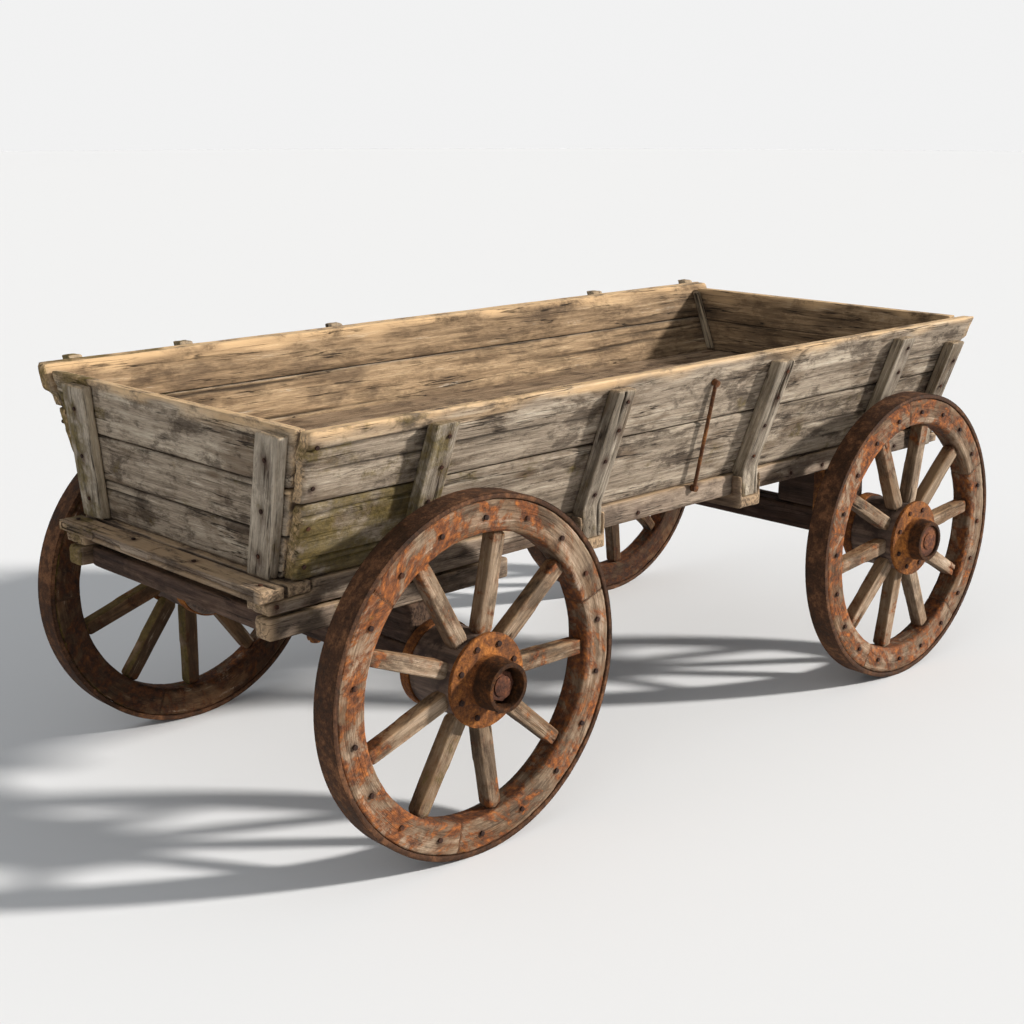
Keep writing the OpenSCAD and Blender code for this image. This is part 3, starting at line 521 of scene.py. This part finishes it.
def wood_material(name, dark, mid, light, stain, bleach, wear_tone, inside, mottle=0.6, cracks=1.0):
    """Old dry timber: grain, dark mottling, stains, splits, knots, moss, rust and pale worn edges, and
    darker, warmer inward faces, which on the wheels are painted shade.
    """
    s = Shader(name)
    grain = s.attribute("grain", vector=True)
    streak = s.noise(s.stretch(grain, (3.2, 52.0, 52.0)), 1.0, 7.0, 0.70, 0.25)
    band = s.noise(s.stretch(grain, (1.3, 15.0, 15.0)), 1.0, 5.0, 0.62, 0.4)
    fibre = s.noise(s.stretch(grain, (22.0, 480.0, 480.0)), 1.0, 3.0, 0.65)
    blotch = s.noise(s.stretch(grain, (3.2, 8.0, 8.0)), 1.0, 5.0, 0.65)
    patch = s.noise(s.stretch(grain, (6.0, 12.0, 12.0)), 1.0, 8.0, 0.72, 0.3)
    fleck = s.noise(grain, 55.0, 5.0, 0.72)
    tone = s.attribute("tone")
    mixed = s.math("ADD", s.math("MULTIPLY", streak, 0.62), s.math("MULTIPLY", band, 0.38))
    mixed = s.math("ADD", mixed, s.math("MULTIPLY", tone, 0.025))
    colour = s.ramp(mixed, [(0.34, dark), (0.49, mid), (0.63, light)])
    # Inward faces are multiplied by the inward colour: painted shade on the wheels, a darker, warmer inner
    # tone elsewhere.
    colour = s.mix(s.math("MULTIPLY", s.attribute("inside"), 0.95), colour, inside, "MULTIPLY")
    colour = s.mix(s.math("MULTIPLY", s.band(blotch, 0.50, 0.64), 0.7), colour, stain)
    calm = s.math("SUBTRACT", 1.0, s.math("MULTIPLY", s.attribute("inside"), 0.4))
    dirt = s.math("MULTIPLY", s.math("MULTIPLY", s.band(patch, 0.49, 0.60), mottle), calm)
    colour = s.mix(dirt, colour, (0.36, 0.34, 0.33), "MULTIPLY")
    mould = s.noise(s.stretch(grain, (19.0, 44.0, 44.0)), 1.0, 6.0, 0.72)
    spots = s.math("MULTIPLY", s.math("MULTIPLY", s.band(mould, 0.53, 0.63), 0.55 * mottle), calm)
    colour = s.mix(spots, colour, (0.42, 0.39, 0.36), "MULTIPLY")
    flakes = s.math("MULTIPLY", s.band(streak, 0.56, 0.66), s.band(patch, 0.50, 0.40), clamp=True)
    colour = s.mix(s.math("MULTIPLY", flakes, 0.55), colour, bleach)
    fibres = s.ramp(fibre, [(0.25, (0.55, 0.53, 0.50)), (0.5, (1.0, 1.0, 1.0)), (0.75, (1.38, 1.36, 1.32))])
    colour = s.mix(0.85, colour, fibres, "MULTIPLY")
    sunned = s.math("MULTIPLY", s.attribute("top"), s.band(patch, 0.66, 0.46), clamp=True)
    colour = s.mix(s.math("MULTIPLY", sunned, 0.8), colour, wear_tone)
    edge = s.math("MULTIPLY", s.attribute("edge"), s.band(fleck, 0.35, 0.6), clamp=True)
    colour = s.mix(s.math("MULTIPLY", edge, 0.6), colour, wear_tone)
    rings = s.noise(s.stretch(grain, (4.0, 90.0, 150.0)), 1.0, 3.0, 0.6)
    ends = s.ramp(rings, [(0.38, dark), (0.62, wear_tone)])
    colour = s.mix(s.math("MULTIPLY", s.attribute("end"), 0.7), colour, ends)
    line = s.noise(s.stretch(grain, (1.3, 30.0, 30.0)), 1.0, 3.0, 0.55)
    open_line = s.band(s.math("ABSOLUTE", s.math("SUBTRACT", line, 0.5)), 0.013, 0.002)
    open_line = s.math("MULTIPLY", open_line, s.band(blotch, 0.40, 0.60), clamp=True)
    crack = s.math("MAXIMUM", s.math("MULTIPLY", open_line, cracks), s.attribute("split"))
    knot_place = s.stretch(grain, (2.1, 6.5, 6.5))
    knots = s.add("ShaderNodeTexVoronoi", {"Vector": knot_place, "Scale": 1.0}, "Distance")
    knot = s.math("MULTIPLY", s.band(knots, 0.14, 0.08), cracks)
    colour = s.mix(s.math("MULTIPLY", knot, 0.85), colour, stain)
    colour = s.mix(s.math("MULTIPLY", crack, 0.9), colour, (0.018, 0.012, 0.008))
    rust = s.math("MULTIPLY", s.attribute("stain"), s.band(fleck, 0.2, 0.55), clamp=True)
    colour = s.mix(s.math("MULTIPLY", rust, 0.9), colour, (0.045, 0.018, 0.010))
    bloom = s.noise(grain, 13.0, 7.0, 0.75, 0.4)
    bloom = s.math("ADD", bloom, s.math("MULTIPLY", s.attribute("rusty"), 0.22))
    rusts = [(0.36, (0.045, 0.018, 0.010)), (0.52, (0.17, 0.052, 0.015)), (0.68, (0.42, 0.135, 0.026))]
    tint = s.ramp(fleck, rusts)
    shade = s.math("SUBTRACT", 1.0, s.math("MULTIPLY", s.attribute("inside"), 0.75))
    tint = s.mix(1.0, tint, shade, "MULTIPLY")
    near_iron = s.band(s.attribute("rusty"), 0.02, 0.15)
    halo = s.math("MULTIPLY", s.band(bloom, 0.50, 0.64), near_iron)
    colour = s.mix(s.math("MULTIPLY", halo, 0.5), colour, (0.62, 0.42, 0.31), "MULTIPLY")
    rusted = s.math("MULTIPLY", s.band(bloom, 0.60, 0.69), near_iron)
    colour = s.mix(s.math("MULTIPLY", rusted, 0.9), colour, tint)
    growth = s.math("ADD", s.noise(grain, 9.0, 5.0, 0.7), s.math("MULTIPLY", s.attribute("moss"), 0.40))
    moss = s.band(growth, 0.66, 0.86)
    greens = [(0.3, (0.034, 0.027, 0.006)), (0.58, (0.128, 0.090, 0.019)), (0.8, (0.23, 0.16, 0.042))]
    green = s.ramp(fleck, greens)
    colour = s.mix(s.math("MULTIPLY", moss, 0.75), colour, green)
    height = s.math("ADD", s.math("MULTIPLY", streak, 0.9), s.math("MULTIPLY", fibre, 0.35))
    height = s.math("ADD", height, s.math("MULTIPLY", fleck, 0.25))
    height = s.math("SUBTRACT", height, s.math("MULTIPLY", crack, 0.9))
    height = s.math("ADD", height, s.math("MULTIPLY", moss, s.math("MULTIPLY", fleck, 0.8)))
    rough = s.band(s.math("ADD", fleck, moss), 0.0, 1.2)
    rough = s.math("ADD", s.math("MULTIPLY", rough, 0.2), 0.75)
    s.surface.inputs["Specular IOR Level"].default_value = 0.18
    return s.finish(colour, rough, height, 0.005)


def rust_material(name, dark, mid, bright, amount=0.5, metal=0.06):
    """Rusted wrought iron: dark scale under orange bloom, pitted."""
    s = Shader(name)
    place = s.place()
    bloom = s.noise(place, 7.0, 6.0, 0.7, 0.3)
    scale = s.noise(place, 45.0, 5.0, 0.65)
    pits = s.noise(place, 190.0, 3.0, 0.6)
    mixed = s.math("ADD", s.math("MULTIPLY", bloom, 0.55), s.math("MULTIPLY", scale, 0.45))
    shift = (0.5 - amount) * 0.2
    stops = [(0.36 + shift, dark), (0.50 + shift, mid), (0.62 + shift, bright)]
    colour = s.ramp(mixed, stops)
    colour, height = pitted(s, colour, scale, pits)
    s.surface.inputs["Metallic"].default_value = metal
    s.surface.inputs["Specular IOR Level"].default_value = 0.15
    rough = s.math("ADD", s.math("MULTIPLY", s.band(mixed, 0.3, 0.6), 0.3), 0.58)
    return s.finish(colour, rough, height, 0.003)


def pitted(s, colour, scale, pits):
    """The iron's colour with its pits, and the height that goes with it."""
    specks = s.ramp(pits, [(0.3, (0.5, 0.48, 0.46)), (0.55, (1.0, 1.0, 1.0)), (0.8, (1.35, 1.3, 1.2))])
    height = s.math("ADD", s.math("MULTIPLY", scale, 0.7), s.math("MULTIPLY", pits, 0.4))
    return s.mix(0.85, colour, specks, "MULTIPLY"), height


def hub_material():
    """The hub's iron: an orange flange, and a dark worn nose that stands out from it."""
    s = Shader("hub_iron")
    place = s.place()
    bloom = s.noise(place, 11.0, 7.0, 0.72, 0.3)
    scale = s.noise(place, 60.0, 5.0, 0.65)
    pits = s.noise(place, 210.0, 3.0, 0.6)
    mixed = s.math("ADD", s.math("MULTIPLY", bloom, 0.6), s.math("MULTIPLY", scale, 0.4))
    orange = [(0.38, (0.040, 0.017, 0.009)), (0.50, (0.165, 0.060, 0.019)), (0.62, (0.38, 0.145, 0.035))]
    worn_dark = [(0.36, (0.012, 0.005, 0.003)), (0.52, (0.040, 0.017, 0.007)), (0.68, (0.14, 0.050, 0.015))]
    flange = s.ramp(mixed, orange)
    nose = s.ramp(mixed, worn_dark)
    across = s.add("ShaderNodeSeparateXYZ", {0: place}, "Y")
    outer_bolt_heads = -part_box("bolts_front_left")[0].y
    nose_starts = outer_bolt_heads + 6 * MM
    past = s.band(s.math("ABSOLUTE", across), nose_starts, nose_starts + 14 * MM)
    colour = s.mix(past, flange, nose)
    colour, height = pitted(s, colour, scale, pits)
    s.surface.inputs["Metallic"].default_value = 0.05
    s.surface.inputs["Specular IOR Level"].default_value = 0.12
    rough = s.math("ADD", s.math("MULTIPLY", s.band(mixed, 0.3, 0.6), 0.3), 0.55)
    return s.finish(colour, rough, height, 0.003)


def nave_material():
    """The turned hub timber: dark, greasy, with streaks along its axis, which lies across the wagon."""
    s = Shader("nave_wood")
    place = s.place()
    streak = s.noise(s.stretch(place, (60.0, 5.0, 60.0)), 1.0, 5.0, 0.65)
    grime = s.noise(place, 14.0, 5.0, 0.65)
    browns = [(0.3, (0.030, 0.018, 0.012)), (0.5, (0.10, 0.060, 0.040)), (0.7, (0.21, 0.14, 0.095))]
    colour = s.ramp(streak, browns)
    colour = s.mix(s.band(grime, 0.45, 0.65), colour, (0.035, 0.018, 0.011))
    return s.finish(colour, s.math("ADD", s.math("MULTIPLY", grime, 0.3), 0.6), streak, 0.003)


SIDE = wood_material(
    "side_board_wood", dark=(0.085, 0.064, 0.045), mid=(0.28, 0.223, 0.165), light=(0.48, 0.405, 0.31),
    stain=(0.110, 0.072, 0.043), bleach=(0.50, 0.44, 0.355), wear_tone=(0.66, 0.44, 0.235),
    inside=(0.90, 0.74, 0.55), mottle=0.9,
)
FLOOR = wood_material(
    "floor_wood", dark=(0.066, 0.040, 0.022), mid=(0.200, 0.134, 0.083), light=(0.36, 0.26, 0.170),
    stain=(0.085, 0.045, 0.022), bleach=(0.42, 0.30, 0.19), wear_tone=(0.33, 0.22, 0.125),
    inside=(1.0, 1.0, 1.0), mottle=0.8,
)
STAKE = wood_material(
    "stake_wood", dark=(0.075, 0.060, 0.042), mid=(0.235, 0.196, 0.150), light=(0.40, 0.34, 0.265),
    stain=(0.11, 0.075, 0.045), bleach=(0.48, 0.42, 0.335), wear_tone=(0.46, 0.33, 0.20),
    inside=(1.0, 0.95, 0.85), mottle=0.5,
)
# The wheel wood's inward colour darkens its inward and sideways faces strongly: painted shade.
WHEEL = wood_material(
    "wheel_wood", dark=(0.072, 0.046, 0.028), mid=(0.215, 0.152, 0.099), light=(0.40, 0.30, 0.21),
    stain=(0.135, 0.072, 0.033), bleach=(0.46, 0.385, 0.31), wear_tone=(0.34, 0.205, 0.105),
    inside=(0.22, 0.16, 0.10), mottle=0.75, cracks=0.35,
)
FRAME_WOOD = wood_material(
    "frame_wood", dark=(0.065, 0.046, 0.033), mid=(0.19, 0.142, 0.105), light=(0.35, 0.275, 0.205),
    stain=(0.08, 0.048, 0.030), bleach=(0.38, 0.30, 0.22), wear_tone=(0.46, 0.315, 0.185),
    inside=(0.6, 0.5, 0.42), mottle=0.65,
)
# Wood for the timbers under the bed, painted near black: painted shade that stands for the deep shade under
# the wagon.
UNDERSIDE_SHADE_WOOD = wood_material(
    "dark_wood", dark=(0.016, 0.010, 0.007), mid=(0.055, 0.032, 0.023), light=(0.12, 0.075, 0.052),
    stain=(0.038, 0.018, 0.011), bleach=(0.12, 0.08, 0.055), wear_tone=(0.13, 0.075, 0.045),
    inside=(1.0, 1.0, 1.0), mottle=0.6,
)
TYRE_IRON = rust_material(
    "tyre_iron", amount=0.5,
    dark=(0.019, 0.009, 0.004), mid=(0.062, 0.028, 0.014), bright=(0.175, 0.080, 0.038),
)
HUB_IRON = hub_material()
NAVE = nave_material()
STRAP_IRON = rust_material(
    "strap_iron", amount=0.55,
    dark=(0.035, 0.016, 0.010), mid=(0.11, 0.046, 0.020), bright=(0.33, 0.135, 0.042),
)
NAIL_IRON = rust_material(
    "nail_iron", amount=0.5,
    dark=(0.016, 0.009, 0.007), mid=(0.038, 0.018, 0.012), bright=(0.11, 0.042, 0.020),
)
AXLE_IRON = rust_material(
    "axle_iron", amount=0.5,
    dark=(0.030, 0.014, 0.010), mid=(0.095, 0.036, 0.020), bright=(0.22, 0.085, 0.035),
)


# ---------------------------------------------------------------- the pieces

TIMBER = [
    (("left_upper_board",), SIDE, "side_wood", Wear(ends=14, chips=9, moss=0.22, cracks=1.6, swell=2)),
    (("left_lower_board",), SIDE, "side_wood", Wear(ends=14, chips=6, moss=0.46, cracks=1.6, swell=2)),
    (("right_upper_board", "right_lower_boards"), SIDE, "side_wood",
     Wear(ends=10, chips=9, moss=0.10, swell=3)),
    # The front boards' raised tone (pale) is painted light on the shaded front of the wagon.
    (("front_boards",), SIDE, "side_wood",
     Wear(cell=5, ends=5, chips=4, moss=0.14, cracks=1.4, rounds=1, swell=1, pale=0.8)),
    (("tailboard_boards",), SIDE, "side_wood",
     Wear(cell=5, ends=4, chips=1.5, moss=0.30, rounds=1, swell=2.5)),
    (("floor_boards",), FLOOR, "floor_wood", Wear(cell=5, ends=5, chips=3, moss=0.0, rounds=1, swell=1)),
    (("left_stakes",), STAKE, "stake_wood", Wear(cell=4, stretch=2, ends=5, chips=5, moss=0.5)),
    (("right_stakes", "tailboard_battens"), STAKE, "stake_wood", Wear(cell=5, ends=5, chips=4, moss=0.25)),
    # The front battens' much raised tone (pale=4) is painted light on the shaded front of the wagon.
    (("front_battens",), STAKE, "stake_wood", Wear(cell=4, stretch=2, ends=5, chips=7, moss=0.12, pale=4)),
    (("tail_cleats",), STAKE, "stake_wood", Wear(cell=4, stretch=2, ends=3, chips=2, moss=0.1)),
    (("sills",), FRAME_WOOD, "frame_wood", Wear(ends=12, chips=12, moss=0.12, relief=1.4, cracks=1.8)),
    (("end_decks",), FRAME_WOOD, "frame_wood",
     Wear(cell=5, stretch=1, ends=8, chips=12, moss=0.12, relief=1.4, notches=16)),
    (("cross_bearers", "hounds"), FRAME_WOOD, "frame_wood", Wear(ends=6, chips=6, moss=0.2, relief=1.2)),
    # The undercarriage timbers take the near-black painted-shade wood.
    (("floor_bearers", "front_transom", "rear_bolster_blocks"), UNDERSIDE_SHADE_WOOD, "hidden_wood",
     Wear(cell=8, ends=4, chips=4, moss=0.0)),
    (("turning_block", "hound_crossbars", "front_bolster", "rear_axle", "front_axle"), UNDERSIDE_SHADE_WOOD,
     "hidden_wood", Wear(cell=7, ends=3, chips=4, moss=0.0)),
]
WHEEL_TIMBER = [
    ("felloes", Wear(cell=6, chips=5, relief=1.6, moss=0.10)),
    ("spokes", Wear(cell=4.5, stretch=2.5, ends=0, chips=5, moss=0.18, cracks=0.7)),
]
IRON = {
    "strap_iron": (STRAP_IRON, ["side_rod", "front_axle_clips", "rear_axle_clips"]),
    "plate_iron": (STRAP_IRON, ["upper_turning_plate", "lower_turning_plate", "king_pin", "king_pin_nut"]),
    "axle_iron": (AXLE_IRON, ["front_axle_arms", "rear_axle_arms", "front_axle_nuts", "rear_axle_nuts"]),
}


def build_timber():
    """Every timber node, worn."""
    seed = FIRST_SEED
    for nodes, material, slot, wear in TIMBER:
        for node in nodes:
            worn_timber(node, material, slot, wear, seed)
            seed += SEED_STEP
    for wheel in WHEELS:
        for part, wear in WHEEL_TIMBER:
            worn_timber(f"{part}_{wheel}", WHEEL, "wheel_wood", wear, seed)
            seed += SEED_STEP


def finish_iron(node, material, bevel=1.2 * MM):
    """A CAD iron node as it is, with rust and slightly rounded edges."""
    piece = NODES[node]
    piece.data.materials.clear()
    piece.data.materials.append(material)
    piece.data.shade_smooth()
    piece.data.set_sharp_from_angle(angle=CREASE)
    weld = piece.modifiers.new("weld", "WELD")
    weld.merge_threshold = 0.01 * MM
    edges = piece.modifiers.new("edges", "BEVEL")
    edges.width = bevel
    edges.segments = 2
    edges.limit_method = "ANGLE"
    edges.angle_limit = CREASE


def build_iron():
    """Every iron node."""
    for slot, (material, nodes) in IRON.items():
        for node in nodes:
            finish_iron(node, material)
    finish_iron("box_nails", NAIL_IRON)
    for wheel in WHEELS:
        finish_iron(f"tyre_{wheel}", TYRE_IRON, 3 * MM)
        finish_iron(f"hub_irons_{wheel}", HUB_IRON)
        finish_iron(f"bolts_{wheel}", NAIL_IRON)
        nave = NODES[f"nave_{wheel}"]
        nave.data.materials.clear()
        nave.data.materials.append(NAVE)
        nave.data.shade_smooth()
        nave.data.set_sharp_from_angle(angle=CREASE)


build_timber()
build_iron()


# ---------------------------------------------------------------- floor, light and camera

def stage_mesh(name, verts, faces, material):
    """A mesh that belongs to the studio and not to the wagon."""
    mesh = bpy.data.meshes.new(name)
    mesh.from_pydata(verts, [], faces)
    mesh.materials.append(material)
    made = bpy.data.objects.new(name, mesh)
    bpy.context.scene.collection.objects.link(made)
    return made


def studio():
    """A plain pale floor that runs to a plain pale backdrop, one low soft sun and an even sky."""
    reach = 60.0
    sun_height = math.radians(23)
    sun_bearing = Vector((0.722, -0.692, 0))
    fill_bearing = Vector((-0.90, -0.15, 0.42))
    pale = Shader("studio_floor")
    pale.surface.inputs["Base Color"].default_value = (0.730, 0.733, 0.737, 1.0)
    pale.surface.inputs["Roughness"].default_value = 0.9
    pale.surface.inputs["Specular IOR Level"].default_value = 0.0
    corners = [(-reach, -reach, 0), (reach, -reach, 0), (reach, reach, 0), (-reach, reach, 0)]
    stage_mesh("floor", corners, [(0, 1, 2, 3)], pale.material)

    glow = Shader("studio_backdrop")
    glow.surface.inputs["Base Color"].default_value = (0.0, 0.0, 0.0, 1.0)
    glow.surface.inputs["Specular IOR Level"].default_value = 0.0
    glow.surface.inputs["Emission Color"].default_value = (0.885, 0.885, 0.885, 1.0)
    glow.surface.inputs["Emission Strength"].default_value = 1.0
    steps = 64
    radius = 0.9 * reach
    angles = [2 * math.pi * i / steps for i in range(steps)]
    verts = [(radius * math.cos(a), radius * math.sin(a), z) for z in (-0.5, radius) for a in angles]
    faces = [(i, (i + 1) % steps, steps + (i + 1) % steps, steps + i) for i in range(steps)]
    faces.append(tuple(range(steps, 2 * steps)))
    backdrop = stage_mesh("backdrop", verts, faces, glow.material)
    backdrop.visible_diffuse = False
    backdrop.visible_glossy = False
    backdrop.visible_transmission = False
    backdrop.visible_shadow = False

    scene = bpy.context.scene
    scene.view_settings.view_transform = "Standard"
    world = bpy.data.worlds.new("sky")
    world.use_nodes = True
    sky = world.node_tree.nodes["Background"]
    sky.inputs["Color"].default_value = (0.93, 0.965, 1.0, 1.0)
    sky.inputs["Strength"].default_value = 0.40
    scene.world = world

    sun = bpy.data.lights.new("sun", "SUN")
    sun.energy = 6.1
    sun.angle = math.radians(4.5)
    sun.color = (1.0, 0.97, 0.93)
    lamp = bpy.data.objects.new("sun", sun)
    scene.collection.objects.link(lamp)
    towards_sun = sun_bearing * math.cos(sun_height) + Vector((0, 0, math.sin(sun_height)))
    lamp.rotation_euler = towards_sun.to_track_quat("Z", "Y").to_euler()

    fill = bpy.data.lights.new("fill", "SUN")
    fill.energy = 0.65
    fill.angle = math.radians(70)
    soft = bpy.data.objects.new("fill", fill)
    scene.collection.objects.link(soft)
    soft.rotation_euler = fill_bearing.to_track_quat("Z", "Y").to_euler()


def photographer():
    """The camera: eye height, off the front left corner, looking down the length."""
    camera = bpy.data.cameras.new("camera")
    camera.sensor_width = 36.0
    camera.lens = 56.93
    camera.clip_end = 500.0
    eye = bpy.data.objects.new("camera", camera)
    bpy.context.scene.collection.objects.link(eye)
    eye.location = (-3.746, -3.688, 2.003)
    yaw = math.radians(43.85)
    pitch = math.radians(14.59)
    eye.rotation_euler = (math.radians(90) - pitch, 0, -yaw)
    bpy.context.scene.camera = eye


studio()
photographer()
